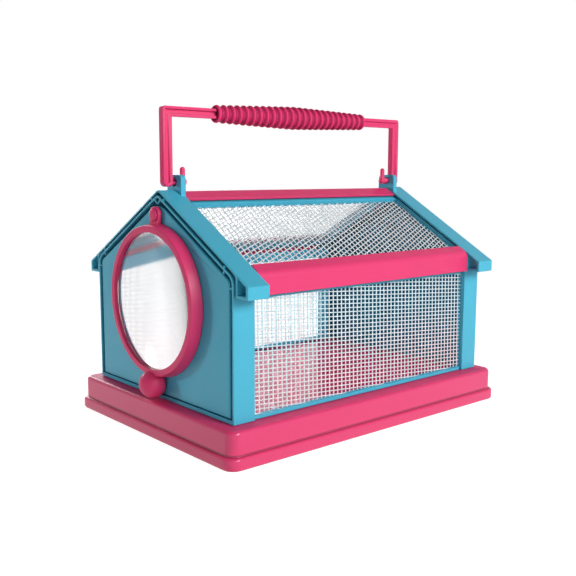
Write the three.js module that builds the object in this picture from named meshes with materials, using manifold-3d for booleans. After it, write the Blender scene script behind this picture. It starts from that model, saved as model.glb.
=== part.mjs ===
// Insect cage: a house-shaped carrying cage on a hollow plinth, with net walls and a net roof,
// a round lens door that swings aside on the front gable, and a carrying handle that folds flat.
// Millimetres, +Z up. X runs along the ridge, with the door end at -X and the right side at -Y.
// The origin is on the ground, in the middle of the footprint, door knob included.

import * as THREE from 'three';
import { mergeVertices } from 'three/addons/utils/BufferGeometryUtils.js';
import Module from 'manifold-3d';

const wasm = await Module();
wasm.setup();

// Plinth
const baseLength = 202.5;
const baseWidth = 146.9;
const deckHeight = 18.6;
const flangeHeight = 6.4;
const plinthInset = 1.8;
const baseWall = 2.2;
const deckThickness = 2.2;
const baseCornerRadius = 6.5;
const deckRounding = 2;
const flangeRounding = 1.4;

// House, measured over the end frames and to the top plane of the roof
const endSetBack = 9.25;
const sideSetBack = 9.85;
const eaveOverhang = 10.4;
const eaveHeight = 85.3;
const roofPitch = THREE.MathUtils.degToRad(29.87);

// Clearances between pieces
const seatGap = 0.3;
const netGap = 0.25;
const endSlack = 0.4;

// End frames, with their posts, rafters, ledge, webs and tongues
const ringDepth = 5;
const postWall = 2;
const postRib = 1.2;
const postDepth = 12.6;
const postRoofGap = 1.3;
const rafterAir = 1.3;
const rafterRib = 1.2;
const sillHeight = 2;
const frameCornerRadius = 3;
const frameEaveRadius = 6.5;
const ledgeLap = 2;
const ledgeApexRadius = 5;
const webWidth = 1;
const webBite = 0.5;
const ridgeWebPlace = 6.9;
const eaveWebPlace = 7.6;
const apexWebHalfWidth = 3.4;
const apexWebThickness = 1.1;
const tongueWidth = 8;
const tongueThickness = 2;
const tongueSpread = 40;
const tongueReach = 3;
const barbDepth = 0.7;
const barbHeight = 1.4;

// Gable panels
const revealWidth = 1.9;
const sillReveal = 0.4;
const panelRecess = 0.2;
const panelThickness = 2.9;
const panelBevel = 0.5;
const panelApexRadius = 14;
const openingLap = 1.8;

// Roof caps over the end frames, with their eave boxes and handle brackets
const capSetBack = 0.5;
const capWidth = 12.8;
const capThickness = 1.1;
const ridgeRadius = 3;
const fasciaHeight = 6.1;
const fasciaWall = 1.8;
const eaveFloor = 1.6;
const eaveWebGap = 1.1;
const eaveWebWall = 1.3;
const eaveWebRadius = 3.5;
const bracketThickness = 3;
const bracketHalfWidth = 6.5;
const bracketRise = 7.2;
const bracketCornerRadius = 2.2;

// Ridge beam and eave rails
const ridgeHalfWidth = 8;
const ridgeDrop = 0.6;
const ridgeThickness = 1.2;
const ridgeWebThickness = 1.6;
const ridgeWebDepth = 6;
const railOverhang = 2.4;
const railThickness = 1.55;
const railFlange = 6.5;
const railSkirt = 4.9;
const railBendRadius = 4.8;
const lipWidth = 1.1;
const lipRise = 0.35;

// Net frames and nets
const sideFrameThickness = 2.4;
const sideStile = 5;
const sideSill = 1.9;
const sideHead = 5.9;
const sideHeadDrop = 2.15;
const sideEndGap = 2;
const sillLip = 1.1;
const roofFrameAir = 0.6;
const roofFrameSink = 1.4;
const roofFrameThickness = 3.4;
const roofStile = 4.5;
const roofTopRail = 5.7;
const roofBottomRail = 4.6;
const roofEndGap = 2.5;
const frameCornerFillet = 1;
const netThickness = 0.8;
const sideNetInset = 0.4;
const roofNetInset = 0.5;
const netColumns = 18;
const netRows = 6;
const netStrand = 1.5;

// Handle
const pinRise = 3.5;
const pinRadius = 1.8;
const pinClearance = 0.4;
const pinReach = 4.4;
const armGap = 1.05;
const handleSlide = -0.75;
const armWidth = 5.4;
const armDepth = 3.6;
const armFoot = 2.4;
const armFootRadius = 2.3;
const barHeight = 5.2;
const handleReach = 38.2;
const handleCornerRadius = 1.6;
const handleInnerRadius = 0.8;
const grooveDepth = 1.2;
const grooveMargin = 1.6;
const lugRadius = 1.4;
const lugHeight = 6.4;
const gripLength = 110;
const gripWall = 0.6;
const gripSwell = 1.75;
const gripTaper = 1.1;
const ribCount = 25;
const ribDepth = 0.6;
const ribCrest = 2.1;

// Door
const pivotBelowTop = 4.6;
const ringThickness = 5.9;
const ringDraft = 1.2;
const ringWidth = 3.3;
const ringEdge = 0.8;
const lensLip = 2;
const lensLand = 0.5;
const lensSeat = 0.7;
const lensEdge = 1.6;
const lensCurve = 350;
const backFlare = 1.9;
const earRadius = 4.4;
const earThickness = 1.9;
const earReach = 4.1;
const neckWidth = 7;
const knobRadius = 7.25;
const knobStandOff = 4.3;
const knobSink = 4.8;
const knobFootGap = 1.35;
const pivotShaftRadius = 1.75;
const pivotHeadRadius = 3.4;
const pivotHeadThickness = 0.9;
const pivotCollarRadius = 2.5;
const pivotCollarLength = 1.1;

// Facets
const cornerSteps = 4;
const apexSteps = 8;
const smallCircle = 16;
const doorCircle = 48;
const gripCircle = 14;
const knobCircle = 20;
const lensRings = 3;
const mergeTolerance = 1e-4;
const through = 1;

// Places that follow from the sizes above
const pitchSin = Math.sin(roofPitch);
const pitchCos = Math.cos(roofPitch);
const pitchTan = Math.tan(roofPitch);
const endFace = baseLength / 2 - endSetBack;
const wallHalfWidth = baseWidth / 2 - sideSetBack;
const eaveHalfWidth = wallHalfWidth + eaveOverhang;
const ridgeHeight = eaveHeight + eaveHalfWidth * pitchTan;
const footHeight = deckHeight + seatGap;
const deckUnderside = deckHeight - deckThickness;
const ringBack = endFace - ringDepth;
const panelFront = endFace - panelRecess;
const panelBack = panelFront - panelThickness;
const ledgeFront = panelBack - seatGap;
const postEnd = endFace - postDepth;
const rafterDrop = capThickness + rafterAir;
const ribDrop = rafterDrop + rafterRib;
const panelDrop = ribDrop + revealWidth;
const panelHalfWidth = wallHalfWidth - postRib - revealWidth;
const panelFoot = footHeight + sillHeight + sillReveal;
const capOuter = endFace - capSetBack;
const capInner = capOuter - capWidth;
const beamHalfLength = capInner - seatGap;
const railFace = wallHalfWidth + railOverhang;
const railFoot = eaveHeight - railSkirt;
const roofFrameTop = capThickness + roofFrameSink;
const roofFrameUnderside = roofFrameTop + roofFrameThickness;
const roofFrameFaceEnd = railFace - railThickness - roofFrameAir;
const roofFrameEnd = (roofFrameFaceEnd + roofFrameTop * pitchSin) / pitchCos;
const roofFrameRidgeGap = ridgeWebThickness / 2 + roofFrameAir;
const roofFrameStart = (roofFrameRidgeGap + roofFrameUnderside * pitchSin) / pitchCos;
const roofFrameHalfLength = ringBack - roofEndGap;
const roofFrameFoot = ridgeHeight - roofFrameEnd * pitchSin - roofFrameUnderside * pitchCos;
const postTop = roofFrameFoot - postRoofGap;
const sideFrameTop = roofFrameFoot - sideHeadDrop;
const sideFrameFace = wallHalfWidth - postWall - seatGap;
const sideFrameBack = sideFrameFace - sideFrameThickness;
const sideFrameHalfLength = ringBack - sideEndGap;
const tonguePlace = endFace - ringDepth / 2;
const pinHeight = ridgeHeight + pinRise;
const bracketOuter = capInner + bracketThickness;
const armInner = bracketOuter + armGap;
const armOuter = armInner + armWidth;
const gripAxis = handleReach - barHeight / 2;
const gripBoreHalfHeight = barHeight / 2 + seatGap;
const gripBoreHalfDepth = armDepth / 2 + seatGap;
const gripValley = Math.hypot(gripBoreHalfHeight, gripBoreHalfDepth) + gripWall;
const panelTop = roofHeight(0, panelDrop) - panelApexRadius * (1 / pitchCos - 1);
const pivotHeight = panelTop - pivotBelowTop;
const ringRear = endFace + seatGap;
const ringFront = ringRear + ringThickness;
const knobHeight = deckHeight + knobFootGap + knobRadius;
const knobPlace = ringRear + knobStandOff;
const ringRadius = (pivotHeight - earReach - knobHeight - knobSink - ringDraft) / 2;
const ringRearRadius = ringRadius + ringDraft;
const ringBore = ringRadius - ringWidth;
const doorHeight = pivotHeight - earReach - ringRearRadius;
const lensRadius = ringBore + lensSeat - seatGap;
const lensFrontEdge = ringFront - lensLip - seatGap;
const lensBackEdge = lensFrontEdge - lensEdge;
const pivotBore = pivotShaftRadius + seatGap;
const footprintShift = (knobPlace + knobRadius - baseLength / 2) / 2;

// Height of a plane parallel to the roof, at a distance from the middle and a drop below the top
function roofHeight(y, drop) {
  return ridgeHeight - drop / pitchCos - Math.abs(y) * pitchTan;
}

// Point at a distance down the slope and a drop below the top plane, on the side of that sign
function roofPoint(side, slope, drop) {
  return [side * (slope * pitchCos - drop * pitchSin), ridgeHeight - slope * pitchSin - drop * pitchCos];
}

// Outline through corners given as [x, y, radius], with true arcs at the round ones
function roundedOutline(corners, steps = cornerSteps) {
  const outline = [];
  corners.forEach(([x, y, radius = 0], index) => {
    const corner = new THREE.Vector2(x, y);
    if (radius <= 0) {
      outline.push(corner);
      return;
    }
    const [beforeX, beforeY] = corners.at(index - 1);
    const [afterX, afterY] = corners[(index + 1) % corners.length];
    const toBefore = new THREE.Vector2(beforeX, beforeY).sub(corner).normalize();
    const toAfter = new THREE.Vector2(afterX, afterY).sub(corner).normalize();
    const halfAngle = Math.acos(toBefore.dot(toAfter)) / 2;
    const middle = toBefore.clone().add(toAfter).normalize();
    const centre = corner.clone().addScaledVector(middle, radius / Math.sin(halfAngle));
    const reach = radius / Math.tan(halfAngle);
    const start = corner.clone().addScaledVector(toBefore, reach).sub(centre);
    const turn = (Math.PI - 2 * halfAngle) * Math.sign(toAfter.cross(toBefore));
    for (let step = 0; step <= steps; step += 1) {
      outline.push(start.clone().rotateAround(new THREE.Vector2(), (turn * step) / steps).add(centre));
    }
  });
  return outline;
}

function circleOutline(x, y, radius, count) {
  const outline = [];
  for (let step = 0; step < count; step += 1) {
    const angle = (2 * Math.PI * step) / count;
    outline.push(new THREE.Vector2(x + radius * Math.cos(angle), y + radius * Math.sin(angle)));
  }
  return outline;
}

function rectangleOutline(left, right, bottom, top, radius = 0) {
  return roundedOutline([
    [left, bottom, radius],
    [right, bottom, radius],
    [right, top, radius],
    [left, top, radius],
  ]);
}

// Outline of the gable end: upright sides, level foot and two roof slopes
function houseOutline(halfWidth, foot, drop, eaveRadius, apexRadius) {
  const eave = roofHeight(halfWidth, drop);
  const lower = roundedOutline([
    [-halfWidth, foot],
    [halfWidth, foot],
    [halfWidth, eave, eaveRadius],
    [0, roofHeight(0, drop)],
    [-halfWidth, eave, eaveRadius],
  ]).filter((point) => point.x !== 0);
  const apex = roundedOutline([
    [halfWidth, eave],
    [0, roofHeight(0, drop), apexRadius],
    [-halfWidth, eave],
  ], apexSteps).slice(1, -1);
  const rightSide = lower.filter((point) => point.x > 0);
  const leftSide = lower.filter((point) => point.x < 0);
  return [leftSide[0], ...rightSide, ...apex, ...leftSide.slice(1)];
}

// Shape whose outline runs counter-clockwise and whose holes run clockwise
function shapeFrom(outline, holes = []) {
  const turned = (points, clockwise) => (
    THREE.ShapeUtils.isClockWise(points) === clockwise ? points : [...points].reverse()
  );
  const shape = new THREE.Shape(turned(outline, false));
  shape.holes = holes.map((hole) => new THREE.Path(turned(hole, true)));
  return shape;
}

// Extrusion that fills the given length, bevels included
function extrude(shape, length, bevel = 0, bevelSegments = 1) {
  const geometry = new THREE.ExtrudeGeometry(shape, {
    depth: length - 2 * bevel,
    steps: 1,
    bevelEnabled: bevel > 0,
    bevelThickness: bevel,
    bevelSize: bevel,
    bevelOffset: -bevel,
    bevelSegments,
  });
  return geometry.translate(0, 0, bevel);
}

// A shape drawn in Y and Z, extruded along X between two places
function alongX(shape, from, to, bevel = 0) {
  const axes = new THREE.Matrix4().makeBasis(
    new THREE.Vector3(0, 1, 0),
    new THREE.Vector3(0, 0, 1),
    new THREE.Vector3(1, 0, 0),
  );
  return extrude(shape, to - from, bevel).applyMatrix4(axes).translate(from, 0, 0);
}

// A shape drawn in X and Z, extruded towards -Y between two distances from the middle
function towardsRight(shape, from, to, bevel = 0) {
  const axes = new THREE.Matrix4().makeBasis(
    new THREE.Vector3(1, 0, 0),
    new THREE.Vector3(0, 0, 1),
    new THREE.Vector3(0, -1, 0),
  );
  return extrude(shape, to - from, bevel).applyMatrix4(axes).translate(0, -from, 0);
}

// A shape drawn in X and Y, extruded up between two heights
function upwards(shape, from, to, bevel = 0, bevelSegments = 1) {
  return extrude(shape, to - from, bevel, bevelSegments).translate(0, 0, from);
}

function block(xRange, yRange, zRange) {
  const size = [xRange, yRange, zRange].map(([low, high]) => high - low);
  const middle = [xRange, yRange, zRange].map(([low, high]) => (low + high) / 2);
  return new THREE.BoxGeometry(...size).translate(...middle);
}

// A profile of [radius, place] points turned about the X axis
function turnedAboutX(profile, segments) {
  const points = profile.map(([radius, place]) => new THREE.Vector2(radius, place));
  return new THREE.LatheGeometry(points, segments).rotateZ(-Math.PI / 2);
}

function toSolid(geometry) {
  const bare = geometry.clone();
  bare.deleteAttribute('normal');
  bare.deleteAttribute('uv');
  const merged = mergeVertices(bare, mergeTolerance);
  return new wasm.Manifold(new wasm.Mesh({
    numProp: 3,
    vertProperties: new Float32Array(merged.attributes.position.array),
    triVerts: new Uint32Array(merged.index.array),
  }));
}

function toGeometry(solid) {
  const { vertProperties, triVerts } = solid.getMesh();
  const geometry = new THREE.BufferGeometry();
  geometry.setAttribute('position', new THREE.BufferAttribute(new Float32Array(vertProperties), 3));
  geometry.setIndex(new THREE.BufferAttribute(new Uint32Array(triVerts), 1));
  geometry.computeVertexNormals();
  return geometry;
}

function join(geometries) {
  return toGeometry(geometries.map(toSolid).reduce((sum, solid) => sum.add(solid)));
}

function cut(geometry, tools) {
  return toGeometry(tools.map(toSolid).reduce((rest, tool) => rest.subtract(tool), toSolid(geometry)));
}

// Hollow plinth, open below, with a wider foot flange and slots for the end frames' tongues
function baseTray() {
  const plinthHalfLength = baseLength / 2 - plinthInset;
  const plinthHalfWidth = baseWidth / 2 - plinthInset;
  const hollowHalfLength = plinthHalfLength - baseWall;
  const hollowHalfWidth = plinthHalfWidth - baseWall;
  const plinthRadius = Math.max(baseCornerRadius - plinthInset / 2, deckRounding + seatGap);
  const hollowRadius = Math.max(plinthRadius - baseWall, seatGap);
  const plan = (halfLength, halfWidth, radius) => shapeFrom(
    rectangleOutline(-halfLength, halfLength, -halfWidth, halfWidth, radius),
  );
  const flangePlan = plan(baseLength / 2, baseWidth / 2, baseCornerRadius);
  const plinthPlan = plan(plinthHalfLength, plinthHalfWidth, plinthRadius);
  const hollowPlan = plan(hollowHalfLength, hollowHalfWidth, hollowRadius);
  const body = join([
    upwards(flangePlan, 0, flangeHeight, flangeRounding, 3),
    upwards(plinthPlan, flangeRounding, deckHeight, deckRounding, 3),
  ]);
  const slots = [];
  for (const end of [-1, 1]) {
    for (const side of [-1, 1]) {
      slots.push(block(
        spread(end * tonguePlace, tongueThickness / 2 + seatGap),
        spread(side * tongueSpread, tongueWidth / 2 + seatGap),
        [deckUnderside - through, deckHeight + through],
      ));
    }
  }
  return cut(body, [upwards(hollowPlan, -through, deckUnderside), ...slots]);
}

function spread(middle, half) {
  return [middle - half, middle + half];
}

// Small V across the reveal at the top of the gable
function apexWeb() {
  const low = panelTop + webBite;
  const rise = apexWebHalfWidth * pitchTan + apexWebThickness / 2;
  const outline = roundedOutline([
    [-apexWebHalfWidth, low + rise],
    [0, low],
    [apexWebHalfWidth, low + rise],
    [apexWebHalfWidth - apexWebThickness, low + rise + apexWebThickness / 2],
    [0, low + apexWebThickness],
    [apexWebThickness - apexWebHalfWidth, low + rise + apexWebThickness / 2],
  ]);
  return alongX(shapeFrom(outline), -endFace, webBite - ledgeFront);
}

// Short web square to the slope, between two drops below the roof
function slopeWeb(side, slope, dropFrom, dropTo) {
  const outline = roundedOutline([
    roofPoint(side, slope, dropFrom),
    roofPoint(side, slope + webWidth, dropFrom),
    roofPoint(side, slope + webWidth, dropTo),
    roofPoint(side, slope, dropTo),
  ]);
  return alongX(shapeFrom(outline), -endFace, webBite - ledgeFront);
}

// Barbed tongue that clips through the deck
function tongue(side) {
  const width = spread(side * tongueSpread, tongueWidth / 2);
  const tip = deckUnderside - tongueReach;
  const barbTop = deckUnderside - seatGap;
  const inner = -tonguePlace + tongueThickness / 2;
  const stem = block(spread(-tonguePlace, tongueThickness / 2), width, [tip, footHeight + webBite]);
  const barb = new THREE.Shape([
    new THREE.Vector2(inner - webBite, barbTop),
    new THREE.Vector2(inner + barbDepth, barbTop),
    new THREE.Vector2(inner, barbTop - barbHeight),
    new THREE.Vector2(inner - webBite, barbTop - barbHeight),
  ]);
  return [stem, towardsRight(barb, -width[1], -width[0])];
}

// End frame: a ring round the gable panel, a ledge behind the panel and two posts along the sides
function endFrame() {
  const outer = houseOutline(wallHalfWidth, footHeight, rafterDrop, frameEaveRadius, frameCornerRadius);
  const pocket = houseOutline(
    wallHalfWidth - postRib,
    footHeight + sillHeight,
    ribDrop,
    frameEaveRadius - rafterRib,
    frameCornerRadius - rafterRib,
  );
  const opening = houseOutline(
    panelHalfWidth - ledgeLap,
    panelFoot + ledgeLap,
    panelDrop + ledgeLap,
    frameCornerRadius,
    ledgeApexRadius,
  );
  const ring = cut(alongX(shapeFrom(outer), -endFace, -ringBack), [
    alongX(shapeFrom(pocket), -endFace - through, -ledgeFront),
    alongX(shapeFrom(opening), -endFace - through, through - ringBack),
  ]);
  const pieces = [ring, apexWeb()];
  const eaveWeb = wallHalfWidth / pitchCos - eaveWebPlace;
  for (const side of [-1, 1]) {
    const postFace = side * (wallHalfWidth - postWall / 2);
    const postTick = side * ((panelHalfWidth + seatGap + wallHalfWidth - postRib + webBite) / 2);
    pieces.push(
      block([webBite - ledgeFront, -postEnd], spread(postFace, postWall / 2), [footHeight, postTop]),
      block(
        [-endFace, webBite - ledgeFront],
        spread(postTick, (revealWidth - seatGap + webBite) / 2),
        [postTop - webWidth, postTop],
      ),
      slopeWeb(side, ridgeWebPlace, capThickness + seatGap, rafterDrop + webBite),
      slopeWeb(side, eaveWeb, capThickness + seatGap, rafterDrop + webBite),
      slopeWeb(side, eaveWeb + webWidth, ribDrop - webBite, panelDrop - seatGap),
      ...tongue(side),
    );
  }
  return join(pieces);
}

// Gable panel set back in its end frame, with the door's opening and pivot hole on the front one
function gablePanel(hasDoor) {
  const eaveRadius = frameEaveRadius - rafterRib - revealWidth;
  const outline = houseOutline(panelHalfWidth, panelFoot, panelDrop, eaveRadius, panelApexRadius);
  const holes = hasDoor
    ? [
      circleOutline(0, doorHeight, ringRearRadius - openingLap, doorCircle),
      circleOutline(0, pivotHeight, pivotBore, smallCircle),
    ]
    : [];
  return alongX(shapeFrom(outline, holes), -panelFront, -panelBack, panelBevel);
}

// Half of the roof cap's section, from the eave's inner web up to the ridge
function capSection(side) {
  const webInner = wallHalfWidth + eaveWebGap;
  const fasciaFoot = eaveHeight - fasciaHeight;
  return {
    underside: [
      [side * webInner, roofHeight(webInner, capThickness), eaveWebRadius],
      [side * webInner, fasciaFoot],
    ],
    face: [
      [side * eaveHalfWidth, fasciaFoot],
      [side * eaveHalfWidth, eaveHeight],
    ],
    hollow: [
      [side * (webInner + eaveWebWall), fasciaFoot + eaveFloor],
      [side * (eaveHalfWidth - fasciaWall), fasciaFoot + eaveFloor],
      [side * (eaveHalfWidth - fasciaWall), roofHeight(eaveHalfWidth - fasciaWall, capThickness)],
      [side * (webInner + eaveWebWall), roofHeight(webInner + eaveWebWall, capThickness)],
    ],
  };
}

// Upright plate on the cap that carries one end of the handle
function handleBracket() {
  const top = ridgeHeight + bracketRise;
  const sunk = capThickness / 2;
  const outline = roundedOutline([
    [-bracketHalfWidth, roofHeight(bracketHalfWidth, sunk)],
    [0, roofHeight(0, sunk)],
    [bracketHalfWidth, roofHeight(bracketHalfWidth, sunk)],
    [bracketHalfWidth, top, bracketCornerRadius],
    [-bracketHalfWidth, top, bracketCornerRadius],
  ]);
  const hole = circleOutline(0, pinHeight, pinRadius + pinClearance, smallCircle);
  return alongX(shapeFrom(outline, [hole]), -bracketOuter, -capInner);
}

// Roof cap over an end frame: two slopes, a hollow box along each eave and the handle bracket
function roofCap() {
  const right = capSection(-1);
  const left = capSection(1);
  const outline = roundedOutline([
    ...right.underside,
    ...right.face,
    [0, ridgeHeight, ridgeRadius],
    ...left.face.reverse(),
    ...left.underside.reverse(),
    [0, roofHeight(0, capThickness), ridgeRadius - capThickness],
  ]);
  const hollows = [right.hollow, left.hollow].map((corners) => roundedOutline(corners));
  return join([alongX(shapeFrom(outline, hollows), -capOuter, -capInner), handleBracket()]);
}

// Ridge beam: two short slopes with a raised lip along each lower edge, and a web below the ridge
function ridgeBeam() {
  const slopeEnd = ridgeHalfWidth / pitchCos;
  const underside = ridgeDrop + ridgeThickness;
  const edge = (side) => [
    roofPoint(side, slopeEnd - lipWidth, ridgeDrop),
    roofPoint(side, slopeEnd - lipWidth / 2, ridgeDrop - lipRise),
    roofPoint(side, slopeEnd, ridgeDrop - lipRise),
    roofPoint(side, slopeEnd, underside),
  ];
  const outline = roundedOutline([
    ...edge(-1).reverse(),
    [0, roofHeight(0, ridgeDrop), ridgeRadius],
    ...edge(1),
    [0, roofHeight(0, underside), ridgeRadius - ridgeThickness],
  ]);
  const web = block(
    spread(0, beamHalfLength),
    spread(0, ridgeWebThickness / 2),
    [ridgeHeight - ridgeWebDepth, roofHeight(0, underside - ridgeThickness / 2)],
  );
  return join([alongX(shapeFrom(outline), -beamHalfLength, beamHalfLength), web]);
}

// Eave rail of the right side: a flange on the slope, bent down into a skirt with a lip at its foot
function eaveRail() {
  const flangeStart = (railFace - railFlange) / pitchCos;
  const inner = railFace - railThickness;
  const outline = roundedOutline([
    roofPoint(-1, flangeStart, 0),
    [-railFace, roofHeight(railFace, 0), railBendRadius],
    [-railFace, railFoot + lipWidth],
    [-railFace - lipRise, railFoot + lipWidth / 2],
    [-railFace - lipRise, railFoot],
    [-inner, railFoot],
    [-inner, roofHeight(inner, railThickness), railBendRadius - railThickness],
    roofPoint(-1, flangeStart, railThickness),
  ]);
  return alongX(shapeFrom(outline), -beamHalfLength, beamHalfLength);
}

// Places of the net opening in the right side frame
function sideOpening() {
  return {
    halfLength: sideFrameHalfLength - sideStile,
    foot: footHeight + sideSill,
    head: sideFrameTop - sideHead,
  };
}

// Side frame of the right side, with a sill that comes forward between the posts
function sideFrame() {
  const { halfLength, foot, head } = sideOpening();
  const outline = rectangleOutline(-sideFrameHalfLength, sideFrameHalfLength, footHeight, sideFrameTop);
  const opening = rectangleOutline(-halfLength, halfLength, foot, head, frameCornerFillet);
  const frame = towardsRight(shapeFrom(outline, [opening]), sideFrameBack, sideFrameFace);
  const sill = block(
    spread(0, postEnd - endSlack),
    [-sideFrameFace - sillLip, -sideFrameBack - sideFrameThickness / 2],
    [footHeight, foot],
  );
  return join([frame, sill]);
}

// Flat net with even strands, drawn in X and Y with its thickness along Z
function netSheet(left, right, bottom, top) {
  const pitchAcross = (right - left - netStrand) / netColumns;
  const pitchUp = (top - bottom - netStrand) / netRows;
  const sheet = upwards(
    shapeFrom(rectangleOutline(left, right, bottom, top, frameCornerFillet)),
    0,
    netThickness,
  );
  const gaps = [];
  for (let column = 0; column < netColumns; column += 1) {
    for (let row = 0; row < netRows; row += 1) {
      const gapLeft = left + netStrand + column * pitchAcross;
      const gapBottom = bottom + netStrand + row * pitchUp;
      gaps.push(block(
        [gapLeft, gapLeft + pitchAcross - netStrand],
        [gapBottom, gapBottom + pitchUp - netStrand],
        [-through, netThickness + through],
      ));
    }
  }
  return cut(sheet, gaps);
}

function sideNet() {
  const { halfLength, foot, head } = sideOpening();
  const half = halfLength - netGap;
  const net = netSheet(-half, half, foot + netGap, head - netGap);
  return net.rotateX(Math.PI / 2).translate(0, sideNetInset + netThickness - sideFrameFace, 0);
}

// Roof pieces are drawn flat: X along the ridge, -Y down the slope, +Z out of the roof
function roofOpening() {
  return {
    halfLength: roofFrameHalfLength - roofStile,
    start: roofFrameStart + roofTopRail,
    end: roofFrameEnd - roofBottomRail,
  };
}

function roofFrame() {
  const { halfLength, start, end } = roofOpening();
  const outline = rectangleOutline(
    -roofFrameHalfLength,
    roofFrameHalfLength,
    -roofFrameEnd,
    -roofFrameStart,
    frameCornerFillet,
  );
  const opening = rectangleOutline(-halfLength, halfLength, -end, -start, frameCornerFillet);
  return upwards(shapeFrom(outline, [opening]), -roofFrameUnderside, -roofFrameTop);
}

function roofNet() {
  const { halfLength, start, end } = roofOpening();
  const half = halfLength - netGap;
  const net = netSheet(-half, half, netGap - end, -start - netGap);
  return net.translate(0, 0, roofNetInset - roofFrameUnderside);
}

// Handle pieces are drawn about the hinge axis, with the handle upright
function handleBail() {
  const underBar = handleReach - barHeight;
  const bail = (margin, outerRadius, footRadius, innerRadius) => roundedOutline([
    [margin - armOuter, margin - armFoot, footRadius],
    [-armInner - margin, margin - armFoot, footRadius],
    [-armInner - margin, underBar + margin, innerRadius],
    [armInner + margin, underBar + margin, innerRadius],
    [armInner + margin, margin - armFoot, footRadius],
    [armOuter - margin, margin - armFoot, footRadius],
    [armOuter - margin, handleReach - margin, outerRadius],
    [margin - armOuter, handleReach - margin, outerRadius],
  ]);
  const body = towardsRight(
    shapeFrom(bail(0, handleCornerRadius, armFootRadius, handleInnerRadius)),
    -armDepth / 2,
    armDepth / 2,
  );
  const groove = shapeFrom(bail(grooveMargin, 0, armFootRadius - grooveMargin, 0));
  const floor = armDepth / 2 - grooveDepth;
  const grooved = cut(body, [
    towardsRight(groove, floor, floor + grooveDepth + through),
    towardsRight(groove, -floor - grooveDepth - through, -floor),
  ]);
  const pins = [];
  for (const end of [-1, 1]) {
    const tip = capInner - pinReach;
    const root = armInner + grooveMargin / 2;
    const lugPlace = end * (tip + lugRadius);
    const pin = new THREE.CylinderGeometry(pinRadius, pinRadius, root - tip, smallCircle);
    const lug = new THREE.CylinderGeometry(lugRadius, lugRadius, lugHeight, smallCircle);
    const lugTop = new THREE.SphereGeometry(lugRadius, smallCircle, smallCircle / 2);
    pins.push(
      pin.rotateZ(Math.PI / 2).translate(end * (tip + root) / 2, 0, 0),
      lug.rotateX(Math.PI / 2).translate(lugPlace, 0, lugHeight / 2),
      lugTop.rotateX(Math.PI / 2).translate(lugPlace, 0, lugHeight),
    );
  }
  return join([grooved, ...pins]);
}

// Ribbed barrel grip, turned about the bar and bored to its section
function handleGrip() {
  const halfLength = gripLength / 2;
  const pitch = (gripLength - ribCrest) / (ribCount - 1);
  const swell = (place) => gripSwell * (1 - Math.abs(place / halfLength) ** gripTaper);
  const profile = [[0, -halfLength]];
  for (let rib = 0; rib < ribCount; rib += 1) {
    const from = rib * pitch - halfLength;
    const to = from + ribCrest;
    const valley = to + (pitch - ribCrest) / 2;
    profile.push([gripValley + ribDepth + swell(from), from]);
    profile.push([gripValley + ribDepth + swell(to), to]);
    if (rib < ribCount - 1) {
      profile.push([gripValley + swell(valley), valley]);
    }
  }
  profile.push([0, halfLength]);
  const barrel = turnedAboutX(profile, gripCircle).translate(0, 0, gripAxis);
  const bore = block(
    spread(0, halfLength + through),
    spread(0, gripBoreHalfDepth),
    spread(gripAxis, gripBoreHalfHeight),
  );
  return cut(barrel, [bore]);
}

// Door pieces are drawn about the pivot, which is at the middle of Y and Z
const doorDrop = doorHeight - pivotHeight;

// Door ring with its lens groove, pivot ear and ball knob
function doorRing() {
  const grooveFront = lensLip - ringFront;
  const grooveRear = seatGap - lensBackEdge;
  const profile = [
    [ringBore, -ringFront + ringEdge / 2],
    [ringBore + ringEdge / 2, -ringFront],
    [ringRadius - ringEdge, -ringFront],
    [ringRadius, -ringFront + ringEdge],
    [ringRearRadius, -ringRear],
    [ringBore + backFlare, -ringRear],
    [ringBore, grooveRear + lensLand],
    [ringBore, grooveRear],
    [ringBore + lensSeat, grooveRear],
    [ringBore + lensSeat, grooveFront],
    [ringBore, grooveFront],
    [ringBore, -ringFront + ringEdge / 2],
  ];
  const ring = turnedAboutX(profile, doorCircle).translate(0, 0, doorDrop);
  const ear = alongX(
    shapeFrom(circleOutline(0, 0, earRadius, smallCircle)),
    -ringRear - earThickness,
    -ringRear,
  );
  const neck = block(
    [-ringRear - earThickness, -ringRear],
    spread(0, neckWidth / 2),
    [-earReach - ringWidth / 2, 0],
  );
  const hole = alongX(
    shapeFrom(circleOutline(0, 0, pivotBore, smallCircle)),
    -ringRear - earThickness - through,
    through - ringRear,
  );
  const knob = new THREE.SphereGeometry(knobRadius, knobCircle, knobCircle / 2);
  const knobDrop = knobHeight - pivotHeight;
  const behind = block(
    [-ringRear, knobRadius - ringRear],
    spread(0, 2 * knobRadius),
    spread(knobDrop, 2 * knobRadius),
  );
  const knobCut = cut(knob.translate(-knobPlace, 0, knobDrop), [behind]);
  return cut(join([ring, ear, neck, knobCut]), [hole]);
}

// Magnifying lens with the same curve on both faces
function doorLens() {
  const sag = (radius) => lensCurve - Math.sqrt(lensCurve ** 2 - radius ** 2);
  const bulge = (radius) => sag(lensRadius) - sag(radius);
  const front = [];
  const back = [];
  for (let ring = 0; ring <= lensRings; ring += 1) {
    const radius = (lensRadius * ring) / lensRings;
    front.push([radius, -lensFrontEdge - bulge(radius)]);
    back.unshift([radius, -lensBackEdge + bulge(radius)]);
  }
  return turnedAboutX([...front, ...back], doorCircle).translate(0, 0, doorDrop);
}

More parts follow.
